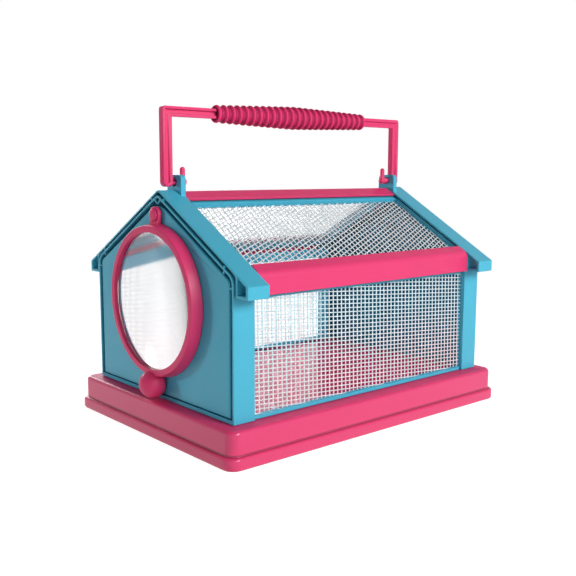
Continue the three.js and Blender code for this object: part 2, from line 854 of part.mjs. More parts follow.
// Headed pin that clips the door's ear to the gable panel
function pivotPin() {
  const headBack = -ringRear - earThickness - seatGap;
  const headFront = headBack - pivotHeadThickness;
  const collarFront = seatGap - panelBack;
  const profile = [
    [0, headFront],
    [pivotHeadRadius - pivotHeadThickness / 2, headFront],
    [pivotHeadRadius, headFront + pivotHeadThickness / 2],
    [pivotHeadRadius, headBack],
    [pivotShaftRadius, headBack],
    [pivotShaftRadius, collarFront],
    [pivotCollarRadius, collarFront],
    [pivotShaftRadius, collarFront + pivotCollarLength],
    [0, collarFront + pivotCollarLength],
  ];
  return turnedAboutX(profile, smallCircle).translate(0, 0, pivotHeight);
}

// Materials
function pinkPlastic() {
  return new THREE.MeshStandardMaterial({ color: 0xe8457b, roughness: 0.35, metalness: 0 });
}

function bluePlastic() {
  return new THREE.MeshStandardMaterial({ color: 0x4db4d0, roughness: 0.4, metalness: 0 });
}

function whiteNet() {
  return new THREE.MeshStandardMaterial({ color: 0xf2f2ef, roughness: 0.6, metalness: 0 });
}

function clearLens() {
  return new THREE.MeshStandardMaterial({
    color: 0xeaf2f4,
    roughness: 0.05,
    metalness: 0,
    transparent: true,
    opacity: 0.3,
  });
}

function piece(name, geometry, material) {
  const mesh = new THREE.Mesh(geometry, material);
  mesh.name = name;
  return mesh;
}

// Front or back end; the back one is the front one turned round
function endGroup(name, hasDoor) {
  const group = new THREE.Group();
  group.add(piece(`${name}_end_frame`, endFrame(), bluePlastic()));
  group.add(piece(`${name}_gable_panel`, gablePanel(hasDoor), bluePlastic()));
  group.add(piece(`${name}_roof_cap`, roofCap(), bluePlastic()));
  return group;
}

// Right or left side; the left one is the right one turned round
function sideGroup(name) {
  const roof = new THREE.Group();
  roof.position.z = ridgeHeight;
  roof.rotation.x = roofPitch;
  roof.add(piece(`${name}_roof_frame`, roofFrame(), bluePlastic()));
  roof.add(piece(`${name}_roof_net`, roofNet(), whiteNet()));
  const group = new THREE.Group();
  group.add(piece(`${name}_side_frame`, sideFrame(), bluePlastic()));
  group.add(piece(`${name}_side_net`, sideNet(), whiteNet()));
  group.add(piece(`${name}_eave_rail`, eaveRail(), pinkPlastic()));
  group.add(roof);
  return group;
}

function handleGroup() {
  const group = new THREE.Group();
  group.position.set(handleSlide, 0, pinHeight);
  group.add(piece('handle_bail', handleBail(), pinkPlastic()));
  group.add(piece('handle_grip', handleGrip(), pinkPlastic()));
  return group;
}

function doorGroup() {
  const group = new THREE.Group();
  group.position.z = pivotHeight;
  group.add(piece('door_ring', doorRing(), pinkPlastic()));
  group.add(piece('door_lens', doorLens(), clearLens()));
  return group;
}

const insectCage = new THREE.Group();
insectCage.position.x = footprintShift;
insectCage.add(piece('base_tray', baseTray(), pinkPlastic()));
insectCage.add(endGroup('front', true));
const backEnd = endGroup('back', false);
backEnd.rotation.z = Math.PI;
insectCage.add(backEnd);
insectCage.add(sideGroup('right'));
const leftSide = sideGroup('left');
leftSide.rotation.z = Math.PI;
insectCage.add(leftSide);
insectCage.add(piece('ridge_beam', ridgeBeam(), pinkPlastic()));
insectCage.add(handleGroup());
insectCage.add(doorGroup());
insectCage.add(piece('door_pivot_pin', pivotPin(), pinkPlastic()));

export default insectCage;
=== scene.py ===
import math

import bmesh
import bpy
from mathutils import Matrix, Vector


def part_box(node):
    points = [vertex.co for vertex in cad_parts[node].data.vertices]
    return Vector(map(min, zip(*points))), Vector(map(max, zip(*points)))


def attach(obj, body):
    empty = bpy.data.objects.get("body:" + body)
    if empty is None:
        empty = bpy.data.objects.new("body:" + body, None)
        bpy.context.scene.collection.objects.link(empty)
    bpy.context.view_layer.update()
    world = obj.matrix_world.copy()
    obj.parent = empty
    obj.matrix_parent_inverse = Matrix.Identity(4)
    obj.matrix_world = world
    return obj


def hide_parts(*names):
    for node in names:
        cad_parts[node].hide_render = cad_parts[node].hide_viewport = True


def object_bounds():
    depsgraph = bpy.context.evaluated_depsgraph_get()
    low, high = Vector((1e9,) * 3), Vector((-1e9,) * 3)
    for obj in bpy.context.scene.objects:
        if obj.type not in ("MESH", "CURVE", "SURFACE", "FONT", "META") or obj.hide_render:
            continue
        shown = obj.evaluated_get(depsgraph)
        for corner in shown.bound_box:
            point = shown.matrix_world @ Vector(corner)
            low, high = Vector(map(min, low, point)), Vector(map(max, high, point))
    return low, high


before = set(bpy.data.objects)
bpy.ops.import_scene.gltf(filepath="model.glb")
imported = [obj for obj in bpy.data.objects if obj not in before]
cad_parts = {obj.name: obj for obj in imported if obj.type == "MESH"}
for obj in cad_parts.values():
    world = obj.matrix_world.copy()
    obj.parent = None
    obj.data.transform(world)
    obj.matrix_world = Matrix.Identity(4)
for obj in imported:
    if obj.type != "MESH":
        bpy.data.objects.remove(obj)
cad_low, cad_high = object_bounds()

# Units
MM = 0.001

# Camera, as fitted to the photograph's 576 pixel frame
IMAGE_PIXELS = 576
FOCAL_PIXELS = 823.2
SENSOR_WIDTH = 36.0
CAMERA_PLACE = Vector((-314.75, -361.7, 136.89)) * MM
CAMERA_AZIMUTH = -40.79
CAMERA_PITCH = 8.06
CAMERA_ROLL = 0.20
CAMERA_CLIP = (0.01, 50)

# Edge rounding and shading of the moulded pieces
EDGE_ROUND = 0.35 * MM
FINE_ROUND = 0.22 * MM
EDGE_STEPS = 3
EDGE_ANGLE = math.radians(32)
SMOOTH_ANGLE = math.radians(34)
MERGE_DISTANCE = 0.002 * MM

# Handle's lowest stretch, which keeps its sharp edges
HOOK_ZONE = 14 * MM

# Eave rails: height of the lip along their foot, and how far it is let down
LIP_ZONE = 2 * MM
SKIRT_DROP = 1.2 * MM

# Inner faces: distance in front of a face at which it is judged, and slack round the cage's inside
INSIDE_GAP = 0.5 * MM

# Nets: two families of strands, each as degrees above the ridge's direction and pitch
SIDE_STRANDS = ((-4.3, 2.17 * MM), (91.3, 2.93 * MM))
ROOF_STRANDS = ((25.0, 2.65 * MM), (83.0, 3.26 * MM))
STRAND_WIDTH_SHARE = 0.29
STRAND_HALF_THICKNESS = 0.16 * MM
STRAND_WAVE = 0.05 * MM
STRAND_SIDES = 6
NET_FRAME_GAP = 0.25 * MM

# Door ring, lens and pivot pin
RING_DRAFT = 1.2 * MM
RING_THICKNESS = 5.9 * MM
RING_WIDTH = 3.3 * MM
RING_EDGE = 0.55 * MM
RING_BACK_FLARE = 1.9 * MM
LENS_LIP = 2.0 * MM
LENS_LAND = 0.5 * MM
LENS_SEAT = 0.7 * MM
LENS_EDGE = 1.6 * MM
LENS_CURVE = 350 * MM
LENS_RINGS = 12
SEAT_GAP = 0.3 * MM
EAR_RADIUS = 4.4 * MM
EAR_THICKNESS = 1.9 * MM
EAR_EDGE = 0.6 * MM
NECK_WIDTH = 7.0 * MM
PIVOT_BORE = 2.05 * MM
BORE_OVERRUN = 2.0 * MM
HEAD_FLAT_SHARE = 0.35
COLLAR_RADIUS = 2.5 * MM
COLLAR_LENGTH = 1.1 * MM
KNOB_RADIUS = 7.25 * MM
DOOR_SEGMENTS = 144
KNOB_SEGMENTS = 64
SMALL_SEGMENTS = 40
ARC_STEPS = 5

# Tolerances: a radius that counts as a point, and a step that counts as none along an axis
POINT_RADIUS = 1e-9
PARALLEL_STEP = 1e-6

# Handle grip
RIB_COUNT = 25
RIB_CREST = 2.1 * MM
RIB_DEPTH = 1.25 * MM
RIB_STEPS = 12
RIB_SHARPNESS = 2.6
GRIP_SEGMENTS = 64
GRIP_SWELL = 1.75 * MM
GRIP_TAPER = 1.1
GRIP_SMOOTH_ANGLE = math.radians(60)

# Colours as red, green, blue and opacity, and the share that lightens the inner faces as painted light
PINK = (0.77, 0.044, 0.170, 1)
# Lighter copy of the pink for the grip's ribs, painted highlight on the crests
RIB_PINK_LIGHTENED = (0.88, 0.05, 0.19, 1)
BLUE = (0.064, 0.455, 0.63, 1)
# Dark blue of the gables' inner faces, painted shade
GABLE_PAINTED_SHADE_BLUE = (0.003, 0.12, 0.21, 1)
# Net tints: painted pink bounce light near the deck, painted cool bounce light above, and white with a
# slight painted cool tint
NET_PAINTED_PINK_BOUNCE = (0.98, 0.90, 0.93, 1)
NET_PAINTED_COOL_BOUNCE = (0.76, 0.955, 1.0, 1)
NET_WHITE_PAINTED_COOL = (0.91, 0.965, 0.98, 1)
LENS_TINT = (0.86, 0.85, 0.855, 1)
WHITE = (1, 1, 1, 1)
INSIDE_PAINTED_LIGHT = 1.2

# Moulded finishes, each as roughness, strength of grain and gloss
PINK_FINISH = (0.42, 0.015, 0.36)
RIB_FINISH = (0.42, 0.01, 0.08)
BLUE_FINISH = (0.34, 0.02, 0.38)
INNER_FINISH = (0.55, 0.03, 0.2)
GABLE_FINISH = (0.55, 0.03, 0.1)
GRAIN_HEIGHT = 0.02 * MM
PLASTIC_IOR = 1.48

# Painted shade in hollows, creases and recesses, from ambient occlusion, each as reach, shade and the
# openness at which it is darkest and clear
PAINTED_HOLLOW_SHADE = (6 * MM, 0.42, 0.15, 0.5)
RIB_PAINTED_HOLLOW_SHADE = (4 * MM, 0.2, 0.8, 0.985)
RING_PAINTED_HOLLOW_SHADE = (3 * MM, 0.85, 0.3, 0.7)

# Noise, each kind as features per metre and detail, and the shares by which it changes a finish
DRIFT_NOISE = (22, 2)
HAZE_NOISE = (160, 3)
GRAIN_NOISE = (2600, 2)
STRAND_NOISE = (900, 2)
LENS_NOISE = (40, 2)
NOISE_SPAN = (0.3, 0.7)
DRIFT_SHARES = (0.975, 1.02)
TRAY_DRIFT_SHARE = 0.985
HAZE_SHARE = 0.15

# Tray: roughness of its sides, rim and inner floor, and the painted shadow line where its wall meets the
# flange
TRAY_SATIN = 0.25
TRAY_RIM = 0.65
TRAY_POLISH = 0.12
TRAY_GLOSS = 0.5
LEVEL_FACING = 0.9
TRAY_SHADOW_LINE_HEIGHT = 6.9 * MM
TRAY_SHADOW_LINE_REACH = 0.55 * MM
TRAY_SHADOW_LINE_SHADE = 0.55

# Net strands and lens: share of light let through, heights where the painted bounce tint changes, roughness
# and refraction
RIGHT_NET_CLARITY = 0.22
LEFT_NET_CLARITY = 0.8
LEFT_ROOF_CLARITY = 0.95
NET_FADE = (30 * MM, 62 * MM)
STRAND_ROUGHNESS = (0.3, 0.42)
STRAND_IOR = 1.12
LENS_ROUGHNESS = (0.08, 0.09)
LENS_IOR = 1.49

# World: strength near the horizon and overhead, as light and as seen, and the heights of the fade between
WORLD_FILL = (0.16, 0.05)
WORLD_SEEN = (1.0, 0.25)
WORLD_FADE = (0.2, 0.8)

# Floor: own light and shade, near the object and far from it, and the distances of the fade between
FLOOR_SIZE = 6.0
FLOOR_LIFT = (0.90, 1.0)
FLOOR_SHADE = (0.5, 0.0)
FLOOR_FADE = (0.25, 0.7)
FLOOR_BOUNCE = 0.75

# Lamps
KEY_POWER = 10.9
KEY_SIZE = 0.5
KEY_DIRECTION = Vector((0.08, -0.91, 0.40))
SIDE_POWER = 4.1
SIDE_SIZE = 0.16
SIDE_DIRECTION = Vector((-0.65, 0.76, 0.10))
BACK_POWER = 11.0
BACK_SIZE = 0.8
BACK_DIRECTION = Vector((0.25, 0.92, 0.30))
FRONT_POWER = 1.7
FRONT_SIZE = 0.6
FRONT_DIRECTION = Vector((-0.35, -0.9, 0.2))
LAMP_DISTANCE = 1.2


# Mesh helpers

def new_piece(name, mesh, body, slot, *nodes):
    """A visible piece that rides on a body and stands for CAD nodes; its slot is not used."""
    piece = bpy.data.objects.new(name, mesh)
    bpy.context.scene.collection.objects.link(piece)
    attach(piece, body)
    if nodes:
        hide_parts(*nodes)
    return piece


def smooth_by_angle(mesh, angle=SMOOTH_ANGLE):
    """Shade a mesh smooth except over edges sharper than an angle."""
    for polygon in mesh.polygons:
        polygon.use_smooth = True
    mesh.set_sharp_from_angle(angle=angle)


def clean_copy(node):
    """The CAD node's mesh with its corners welded."""
    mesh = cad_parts[node].data.copy()
    mesh.name = node + "_finish"
    work = bmesh.new()
    work.from_mesh(mesh)
    bmesh.ops.remove_doubles(work, verts=work.verts, dist=MERGE_DISTANCE)
    work.to_mesh(mesh)
    work.free()
    mesh.materials.clear()
    return mesh


def applied(piece):
    """Replace a piece's mesh by its evaluated one and drop its modifiers."""
    bpy.context.view_layer.update()
    result = bpy.data.meshes.new_from_object(piece.evaluated_get(bpy.context.evaluated_depsgraph_get()))
    piece.modifiers.clear()
    piece.data = result
    return piece


def weigh_edges(mesh, above):
    """Mark the sharp edges that lie wholly above a height, for rounding."""
    work = bmesh.new()
    work.from_mesh(mesh)
    weight = work.edges.layers.float.new("bevel_weight_edge")
    for edge in work.edges:
        high = min(vertex.co.z for vertex in edge.verts) > above
        if high and edge.is_manifold and edge.calc_face_angle() > EDGE_ANGLE:
            edge[weight] = 1.0
    work.to_mesh(mesh)
    work.free()


def lower_foot(mesh, zone, drop):
    """Let the lowest points of a mesh down, to lengthen a skirt."""
    foot = min(vertex.co.z for vertex in mesh.vertices)
    for vertex in mesh.vertices:
        if vertex.co.z < foot + zone:
            vertex.co.z -= drop


def rounded_node(node, body, slot, width=EDGE_ROUND, above=0.0):
    """A moulded piece with the CAD node's shape, and rounded edges above a height."""
    piece = new_piece(node + "_moulding", clean_copy(node), body, slot, node)
    if node.endswith("eave_rail"):
        lower_foot(piece.data, LIP_ZONE, SKIRT_DROP)
    bevel = piece.modifiers.new("edges", "BEVEL")
    bevel.width = width
    bevel.segments = EDGE_STEPS
    bevel.limit_method = "ANGLE"
    bevel.angle_limit = EDGE_ANGLE
    if above > 0:
        weigh_edges(piece.data, above)
        bevel.limit_method = "WEIGHT"
    bevel.use_clamp_overlap = False
    bevel.miter_outer = "MITER_ARC"
    applied(piece)
    smooth_by_angle(piece.data)
    shading = piece.modifiers.new("shading", "WEIGHTED_NORMAL")
    shading.keep_sharp = True
    return applied(piece)


def rounded_outline(corners):
    """Points of an outline whose corners (x, y, radius) are rounded with true arcs."""
    outline = []
    count = len(corners)
    for index, (x, y, radius) in enumerate(corners):
        corner = Vector((x, y))
        if radius <= 0:
            outline.append(corner)
            continue
        before = (Vector(corners[index - 1][:2]) - corner).normalized()
        after = (Vector(corners[(index + 1) % count][:2]) - corner).normalized()
        half = math.acos(max(-1.0, min(1.0, before.dot(after)))) / 2
        centre = corner + (before + after).normalized() * radius / math.sin(half)
        start = corner + before * radius / math.tan(half) - centre
        turn = math.pi - 2 * half
        if after.cross(before) < 0:
            turn = -turn
        for step in range(ARC_STEPS + 1):
            outline.append(Matrix.Rotation(turn * step / ARC_STEPS, 2) @ start + centre)
    return outline


def fill_mesh(mesh, work):
    """Fill a mesh from a work mesh, with all faces turned outwards."""
    bmesh.ops.recalc_face_normals(work, faces=work.faces)
    work.to_mesh(mesh)
    work.free()
    return mesh


def turned_mesh(name, profile, centre, segments, closed):
    """A profile of (radius, place along X) points turned about the X axis through a centre."""
    work = bmesh.new()
    rings = []
    for radius, place in profile:
        if radius < POINT_RADIUS:
            rings.append([work.verts.new((place, centre.y, centre.z))])
            continue
        ring = []
        for step in range(segments):
            angle = 2 * math.pi * step / segments
            ring.append(work.verts.new((
                place,
                centre.y + radius * math.cos(angle),
                centre.z + radius * math.sin(angle),
            )))
        rings.append(ring)
    pairs = list(zip(rings, rings[1:]))
    if closed:
        pairs.append((rings[-1], rings[0]))
    for first, second in pairs:
        for step in range(segments):
            after = (step + 1) % segments
            corners = [
                first[step % len(first)],
                first[after % len(first)],
                second[after % len(second)],
                second[step % len(second)],
            ]
            work.faces.new(list(dict.fromkeys(corners)))
    return fill_mesh(bpy.data.meshes.new(name), work)


def extruded_mesh(name, outline, low, high, edge):
    """An outline in Y and Z extruded along X, with a rounded edge on its front at the low end."""
    centre = sum(outline, Vector((0, 0))) / len(outline)
    levels = [(high, 0.0), (low + edge, 0.0)]
    for step in range(1, ARC_STEPS + 1):
        angle = math.pi / 2 * step / ARC_STEPS
        levels.append((low + edge * (1 - math.sin(angle)), edge * (1 - math.cos(angle))))
    work = bmesh.new()
    rings = []
    for place, inset in levels:
        ring = []
        for point in outline:
            inward = (centre - point).normalized() * inset
            ring.append(work.verts.new((place, point.x + inward.x, point.y + inward.y)))
        rings.append(ring)
    count = len(outline)
    for first, second in zip(rings, rings[1:]):
        for index in range(count):
            after = (index + 1) % count
            work.faces.new((first[index], first[after], second[after], second[index]))
    work.faces.new(rings[0])
    work.faces.new(rings[-1])
    return fill_mesh(bpy.data.meshes.new(name), work)


def block_mesh(low, high):
    """A box between two corners."""
    work = bmesh.new()
    bmesh.ops.create_cube(work, size=1.0)
    bmesh.ops.scale(work, vec=high - low, verts=work.verts)
    bmesh.ops.translate(work, vec=(low + high) / 2, verts=work.verts)
    return fill_mesh(bpy.data.meshes.new("block"), work)


def combine(piece, mesh, operation):
    """Join a closed mesh to a piece, or cut it out of the piece."""
    tool = bpy.data.objects.new("tool", mesh)
    bpy.context.scene.collection.objects.link(tool)
    boolean = piece.modifiers.new("combine", "BOOLEAN")
    boolean.operation = operation
    boolean.solver = "EXACT"
    boolean.object = tool
    applied(piece)
    bpy.data.objects.remove(tool)
    bpy.data.meshes.remove(mesh)


# Inside of the cage

panel_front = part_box("front_gable_panel")[1].x
panel_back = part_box("back_gable_panel")[0].x
net_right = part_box("right_side_net")[1].y
net_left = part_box("left_side_net")[0].y
roof_low, roof_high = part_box("right_roof_net")
roof_slope = (roof_high.z - roof_low.z) / (roof_high.y - roof_low.y)
deck_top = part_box("base_tray")[1].z


# Node helpers

def feed(links, socket, value):
    """Link a node's output to a socket, or set the socket to a plain value."""
    if isinstance(value, bpy.types.NodeSocket):
        links.new(value, socket)
    else:
        socket.default_value = value


def parts_of(nodes, links, vector):
    """The X, Y and Z outputs of a vector."""
    node = nodes.new("ShaderNodeSeparateXYZ")
    links.new(vector, node.inputs[0])
    return node.outputs


def object_place(nodes):
    """A point of the piece in its own coordinates."""
    return nodes.new("ShaderNodeTexCoord").outputs["Object"]


def faded(nodes, links, value, start, end, low=0.0, high=1.0):
    """A number that goes from low to high while a value goes from start to end."""
    node = nodes.new("ShaderNodeMapRange")
    feed(links, node.inputs["Value"], value)
    feed(links, node.inputs["From Min"], start)
    feed(links, node.inputs["From Max"], end)
    feed(links, node.inputs["To Min"], low)
    feed(links, node.inputs["To Max"], high)
    return node.outputs["Result"]


def noise(nodes, links, kind):
    """Noise over the piece's own coordinates."""
    scale, detail = kind
    texture = nodes.new("ShaderNodeTexNoise")
    texture.inputs["Scale"].default_value = scale
    texture.inputs["Detail"].default_value = detail
    links.new(object_place(nodes), texture.inputs["Vector"])
    return texture.outputs["Fac"]


def spread_noise(nodes, links, kind, low=0.0, high=1.0):
    """Noise whose usual span is spread over a range of numbers."""
    return faded(nodes, links, noise(nodes, links, kind), *NOISE_SPAN, low, high)


def blend(nodes, links, share, first, second):
    """A colour between two colours, each a node's output or a plain one."""
    node = nodes.new("ShaderNodeMix")
    node.data_type = "RGBA"
    feed(links, node.inputs["Factor"], share)
    feed(links, node.inputs["A"], first)
    feed(links, node.inputs["B"], second)
    return node.outputs["Result"]


def worked_out(nodes, links, operation, *values):
    """A number worked out from others, each a node's output or a plain one."""
    node = nodes.new("ShaderNodeMath")
    node.operation = operation
    for socket, value in zip(node.inputs, values):
        feed(links, socket, value)
    return node.outputs[0]


def within(nodes, links, value, reach):
    """1 where a number lies nearer to zero than a reach, otherwise 0."""
    size = worked_out(nodes, links, "ABSOLUTE", value)
    return worked_out(nodes, links, "LESS_THAN", size, reach)


# Materials

def toned(colour, share):
    """A colour made darker or lighter by a share."""
    return (*[channel * share for channel in colour[:3]], colour[3])


def new_material(name):
    """A new material, with its nodes, its links and its shader."""
    material = bpy.data.materials.new(name)
    material.use_nodes = True
    nodes = material.node_tree.nodes
    return material, nodes, material.node_tree.links, nodes["Principled BSDF"]


def painted_hollow_shade(nodes, links, plain, colour, painted_shade):
    """A plain colour with painted shade: it turns to a darker shade of itself where ambient occlusion finds
    the surface shut in.
    """
    reach, shade, closed_share, open_share = painted_shade
    occlusion = nodes.new("ShaderNodeAmbientOcclusion")
    occlusion.inputs["Distance"].default_value = reach
    openness = faded(nodes, links, occlusion.outputs["AO"], closed_share, open_share)
    return blend(nodes, links, openness, toned(colour, shade), plain)


def moulded_plastic(name, colour, finish, painted_shade):
    """Moulded plastic: slow drift of tint and gloss, painted shade in hollows and creases, and a fine
    moulded grain.
    """
    material, nodes, links, shader = new_material(name)
    roughness, grain, gloss = finish
    dark, light = (toned(colour, share) for share in DRIFT_SHARES)
    plain = blend(nodes, links, spread_noise(nodes, links, DRIFT_NOISE), dark, light)
    # Painted shade: the colour darkens in hollows, creases and recesses
    links.new(painted_hollow_shade(nodes, links, plain, colour, painted_shade), shader.inputs["Base Color"])
    haze = (roughness * (1 - HAZE_SHARE), roughness * (1 + HAZE_SHARE))
    links.new(spread_noise(nodes, links, HAZE_NOISE, *haze), shader.inputs["Roughness"])
    bump = nodes.new("ShaderNodeBump")
    bump.inputs["Strength"].default_value = grain
    bump.inputs["Distance"].default_value = GRAIN_HEIGHT
    links.new(noise(nodes, links, GRAIN_NOISE), bump.inputs["Height"])
    links.new(bump.outputs["Normal"], shader.inputs["Normal"])
    shader.inputs["IOR"].default_value = PLASTIC_IOR
    shader.inputs["Specular IOR Level"].default_value = gloss
    return material


def tray_colour(nodes, links, height):
    """Pink with a slow drift of tint, and a painted shadow line where the wall meets the flange."""
    drift = spread_noise(nodes, links, DRIFT_NOISE)
    plain = blend(nodes, links, drift, toned(PINK, TRAY_DRIFT_SHARE), PINK)
    # Painted shadow: a dark band along the foot of the wall, just above the flange
    above_shadow_line = worked_out(nodes, links, "SUBTRACT", height, TRAY_SHADOW_LINE_HEIGHT)
    painted_shade = within(nodes, links, above_shadow_line, TRAY_SHADOW_LINE_REACH)
    return blend(nodes, links, painted_shade, plain, toned(PINK, TRAY_SHADOW_LINE_SHADE))


def tray_roughness(nodes, links, place):
    """Satin sides, dull level faces outside the walls and a polished floor inside them."""
    between_gables = within(nodes, links, place["X"], panel_back)
    between_nets = within(nodes, links, place["Y"], net_left)
    inside = worked_out(nodes, links, "MULTIPLY", between_gables, between_nets)
    surface = nodes.new("ShaderNodeNewGeometry")
    upward = parts_of(nodes, links, surface.outputs["Normal"])["Z"]
    outside_finish = faded(nodes, links, upward, LEVEL_FACING, 1.0, TRAY_SATIN, TRAY_RIM)
    return faded(nodes, links, inside, 0.0, 1.0, outside_finish, TRAY_POLISH)


def tray_plastic():
    """Pink plastic of the tray."""
    material, nodes, links, shader = new_material("pink_tray_plastic")
    place = parts_of(nodes, links, object_place(nodes))
    links.new(tray_colour(nodes, links, place["Z"]), shader.inputs["Base Color"])
    links.new(tray_roughness(nodes, links, place), shader.inputs["Roughness"])
    shader.inputs["IOR"].default_value = PLASTIC_IOR
    shader.inputs["Specular IOR Level"].default_value = TRAY_GLOSS
    return material


def net_plastic(name, clarity, low, high):
    """White net strand: painted pink bounce light near the deck and painted cool bounce light above, letting
    a share of the light through.
    """
    material, nodes, links, shader = new_material(name)
    place = parts_of(nodes, links, object_place(nodes))
    height = faded(nodes, links, place["Z"], *NET_FADE)
    links.new(blend(nodes, links, height, low, high), shader.inputs["Base Color"])
    links.new(spread_noise(nodes, links, STRAND_NOISE, *STRAND_ROUGHNESS), shader.inputs["Roughness"])
    shader.inputs["Transmission Weight"].default_value = clarity
    shader.inputs["IOR"].default_value = STRAND_IOR
    return material


def clear_lens():
    """Clear moulded lens with faint unevenness of polish."""
    material, nodes, links, shader = new_material("clear_lens_plastic")
    shader.inputs["Base Color"].default_value = LENS_TINT
    shader.inputs["Transmission Weight"].default_value = 1.0
    shader.inputs["IOR"].default_value = LENS_IOR
    links.new(spread_noise(nodes, links, LENS_NOISE, *LENS_ROUGHNESS), shader.inputs["Roughness"])
    return material


# Each moulded plastic paints shade into its hollows and creases
materials = {
    "pink_plastic": moulded_plastic("pink_moulded_plastic", PINK, PINK_FINISH, PAINTED_HOLLOW_SHADE),
    "pink_tray": tray_plastic(),
    # Grip: lighter pink as painted highlight, with strong painted shade in the rib valleys
    "pink_ribs": moulded_plastic("pink_ribs_painted_highlight_and_shade", RIB_PINK_LIGHTENED, RIB_FINISH, RIB_PAINTED_HOLLOW_SHADE),
    "pink_ring": moulded_plastic("pink_ring_plastic", PINK, PINK_FINISH, RING_PAINTED_HOLLOW_SHADE),
    # Inner faces of the pink mouldings, lightened as painted light
    "pink_inside_painted_light": moulded_plastic("pink_matt_inner_painted_light", toned(PINK, INSIDE_PAINTED_LIGHT), INNER_FINISH, PAINTED_HOLLOW_SHADE),
    "blue_plastic": moulded_plastic("blue_moulded_plastic", BLUE, BLUE_FINISH, PAINTED_HOLLOW_SHADE),
    # Inner faces of the blue mouldings, lightened as painted light
    "blue_inside_painted_light": moulded_plastic("blue_matt_inner_painted_light", toned(BLUE, INSIDE_PAINTED_LIGHT), INNER_FINISH, PAINTED_HOLLOW_SHADE),
    # Inner faces of the gable ends, darkened as painted shade
    "gable_inside_painted_shade": moulded_plastic("blue_inner_gable_painted_shade", GABLE_PAINTED_SHADE_BLUE, GABLE_FINISH, PAINTED_HOLLOW_SHADE),
    # Side nets are tinted by height as painted bounce light
    "right_net": net_plastic("right_net_strand", RIGHT_NET_CLARITY, NET_PAINTED_PINK_BOUNCE, NET_PAINTED_COOL_BOUNCE),
    "left_net": net_plastic("left_net_strand", LEFT_NET_CLARITY, NET_PAINTED_PINK_BOUNCE, NET_WHITE_PAINTED_COOL),
    "right_roof": net_plastic("right_roof_strand", RIGHT_NET_CLARITY, NET_WHITE_PAINTED_COOL, NET_WHITE_PAINTED_COOL),
    "left_roof": net_plastic("left_roof_strand", LEFT_ROOF_CLARITY, NET_WHITE_PAINTED_COOL, NET_WHITE_PAINTED_COOL),
    "clear_lens": clear_lens(),
}


def finish_with(piece, finish):
    """Give a whole piece one material."""
    piece.data.materials.clear()
    piece.data.materials.append(materials[finish])


# Finish of the inner faces: lightened copies of the plastic as painted light, and a dark blue on the gable
# ends as painted shade

def is_inside(place):
    """Whether a point lies in the space that the gables, the nets and the deck enclose."""
    roof = roof_low.z + roof_slope * (abs(roof_low.y) - abs(place.y))
    between_gables = panel_front - INSIDE_GAP < place.x < panel_back + INSIDE_GAP
    between_nets = net_right - INSIDE_GAP < place.y < net_left + INSIDE_GAP
    return between_gables and between_nets and deck_top < place.z < roof


def finish_inside(piece, finish):
    """Give the faces that look into the cage a material of their own."""
    piece.data.materials.append(materials[finish])
    for polygon in piece.data.polygons:
        if is_inside(polygon.center + polygon.normal * INSIDE_GAP):
            polygon.material_index = 1


# Mouldings that keep the CAD node's shape

def make_pink_mouldings():
    """Tray, ridge beam and eave rails."""
    for node in ("base_tray", "ridge_beam", "right_eave_rail", "left_eave_rail"):
        piece = rounded_node(node, "cage", "pink_plastic")
        if node == "base_tray":
            finish_with(piece, "pink_tray")
            continue
        finish_with(piece, "pink_plastic")
        # Faces inside the cage are lightened as painted light
        finish_inside(piece, "pink_inside_painted_light")


def make_blue_mouldings():
    """End frames, gable panels and roof caps, then the frames of the nets."""
    blue = []
    for end in ("front", "back"):
        blue += [end + "_end_frame", end + "_gable_panel", end + "_roof_cap"]
    for side in ("right", "left"):
        blue += [side + "_side_frame", side + "_roof_frame"]
    for node in blue:
        width = FINE_ROUND if node.endswith("end_frame") else EDGE_ROUND
        piece = rounded_node(node, "cage", "blue_plastic", width)
        finish_with(piece, "blue_plastic")
        # Inner faces are lightened as painted light, those of the gable ends darkened as painted shade
        gable = node.endswith(("panel", "end_frame"))
        finish_inside(piece, "gable_inside_painted_shade" if gable else "blue_inside_painted_light")


def handle_bail():
    """Handle's bar and arms, with rounded edges above the hooks."""
    above_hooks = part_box("handle_bail")[0].z + HOOK_ZONE
    bail = rounded_node("handle_bail", "handle", "pink_plastic", FINE_ROUND, above_hooks)
    finish_with(bail, "pink_plastic")


# Nets

def net_axes(node):
    """Directions along the ridge, up the net and out of it, read from the CAD net's largest face."""
    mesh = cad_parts[node].data
    out = max(mesh.polygons, key=lambda polygon: polygon.area).normal.normalized()
    along = Vector((1, 0, 0))
    up = out.cross(along)
    if up.z < 0:
        up = -up
    return along, up, out


def net_field(node, along, up, out):
    """Low and high corner of a net's field, as places along and up the net, and its level along out."""
    corners = [vertex.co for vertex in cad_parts[node].data.vertices]
    places = [along.dot(corner) for corner in corners]
    heights = [up.dot(corner) for corner in corners]
    levels = [out.dot(corner) for corner in corners]
    gap = Vector((NET_FRAME_GAP, NET_FRAME_GAP))
    low = Vector((min(places), min(heights))) - gap
    high = Vector((max(places), max(heights))) + gap
    return low, high, (min(levels) + max(levels)) / 2


def clipped(start, step, low, high):
    """Where a line enters and leaves a rectangle, as distances along the line, or None if it misses."""
    enter = -math.inf
    leave = math.inf
    for axis in range(2):
        if abs(step[axis]) < PARALLEL_STEP:
            if not low[axis] < start[axis] < high[axis]:
                return None
            continue
        first = (low[axis] - start[axis]) / step[axis]
        second = (high[axis] - start[axis]) / step[axis]
        enter = max(enter, min(first, second))
        leave = min(leave, max(first, second))
    return (enter, leave) if leave > enter else None


